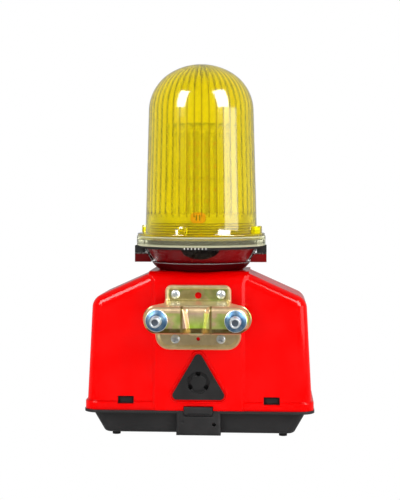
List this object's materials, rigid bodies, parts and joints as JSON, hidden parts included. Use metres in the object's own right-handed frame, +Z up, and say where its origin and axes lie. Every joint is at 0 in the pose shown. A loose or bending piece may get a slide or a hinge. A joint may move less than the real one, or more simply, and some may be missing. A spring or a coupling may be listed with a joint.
{
  "type": "barrier warning lamp",
  "caption": "Battery warning lamp that clamps to a traffic barrier: domed ribbed lens on a clear bowl, boxy hood, battery tray, key lock and clamp bracket.",
  "frame": {"origin": "on the ground under the lens axis", "axes": "+Z up along the lens axis, -Y is the front with the clamp and the key lock, +X to the right seen from the front"},
  "size_m": [0.214, 0.1571, 0.3492],
  "materials": {
    "hood_red": "gloss",
    "tray_black": "matte",
    "seal_rubber": "matte",
    "yellow_zinc": "satin",
    "blue_zinc": "satin",
    "lock_black": "satin",
    "battery_case": "satin",
    "spring_steel": "satin",
    "contact_brass": "satin",
    "board_green": "satin",
    "board_grey": "matte",
    "lead_insulation": "satin",
    "head_clear": "gloss",
    "liner_red": "satin",
    "lens_yellow": "gloss",
    "drum_white": "satin",
    "optic_clear": "gloss",
    "post_aluminium": "satin",
    "led_amber": "gloss",
    "sensor_orange": "gloss"
  },
  "bodies": {
    "housing": {"hood_shell": "hood_red", "mounting_plate": "yellow_zinc", "plate_screws": "blue_zinc", "weld_nuts": "yellow_zinc", "lock_bezel": "lock_black", "lock_retaining_ring": "lock_black", "contact_board": "board_grey", "contact_strips": "contact_brass", "board_posts": "hood_red", "supply_leads": "lead_insulation", "head_bowl": "head_clear", "bowl_liner": "liner_red", "head_screws": "blue_zinc", "neck_bush": "seal_rubber", "ring_gasket": "seal_rubber", "lug_left": "liner_red", "lug_right": "liner_red", "lug_washers": "spring_steel", "lug_pad_left": "seal_rubber", "lug_pad_right": "seal_rubber", "lug_screws": "blue_zinc", "head_deck": "tray_black", "ribbed_collar": "lens_yellow", "reflector_drum": "drum_white", "light_sensor": "sensor_orange", "drum_screws": "blue_zinc", "driver_board": "board_green", "board_pillars": "drum_white", "optic_tube": "optic_clear", "led_post": "post_aluminium", "led_chips": "led_amber"},
    "clamp_jaw": {"clamp_strap": "yellow_zinc", "clamp_bolts": "blue_zinc"},
    "lens_cover": {"lens": "lens_yellow"},
    "key_cylinder": {"lock_rotor": "lock_black", "lock_cam": "spring_steel", "lock_cam_screw": "blue_zinc"},
    "tray": {"battery_tray": "tray_black", "tray_feet": "seal_rubber", "tray_seal": "seal_rubber", "hasp_pin": "spring_steel", "battery_left": "battery_case", "battery_right": "battery_case", "battery_springs_left": "spring_steel", "battery_springs_right": "spring_steel"},
    "hasp": {"hasp": "tray_black"}
  },
  "joints": [
    {"name": "tray_drop", "type": "slide", "parent": "housing", "child": "tray", "axis": [0, 0, -1], "range_m": [0, 0.13]},
    {"name": "hasp_swing", "type": "hinge", "parent": "tray", "child": "hasp", "pos_m": [0, -0.0444, 0.0234], "axis": [1, 0, 0], "range_deg": [0, 95]},
    {"name": "lock_turn", "type": "hinge", "parent": "housing", "child": "key_cylinder", "pos_m": [0, -0.0457, 0.0511], "axis": [0, 1, 0], "range_deg": [0, 90]},
    {"name": "lens_turn", "type": "hinge", "parent": "housing", "child": "lens_cover", "pos_m": [0, 0, 0.182], "axis": [0, 0, 1], "range_deg": [0, 20]},
    {"name": "clamp_close", "type": "slide", "parent": "housing", "child": "clamp_jaw", "axis": [0, 1, 0], "range_m": [-0.002, 0.0075]}
  ]
}
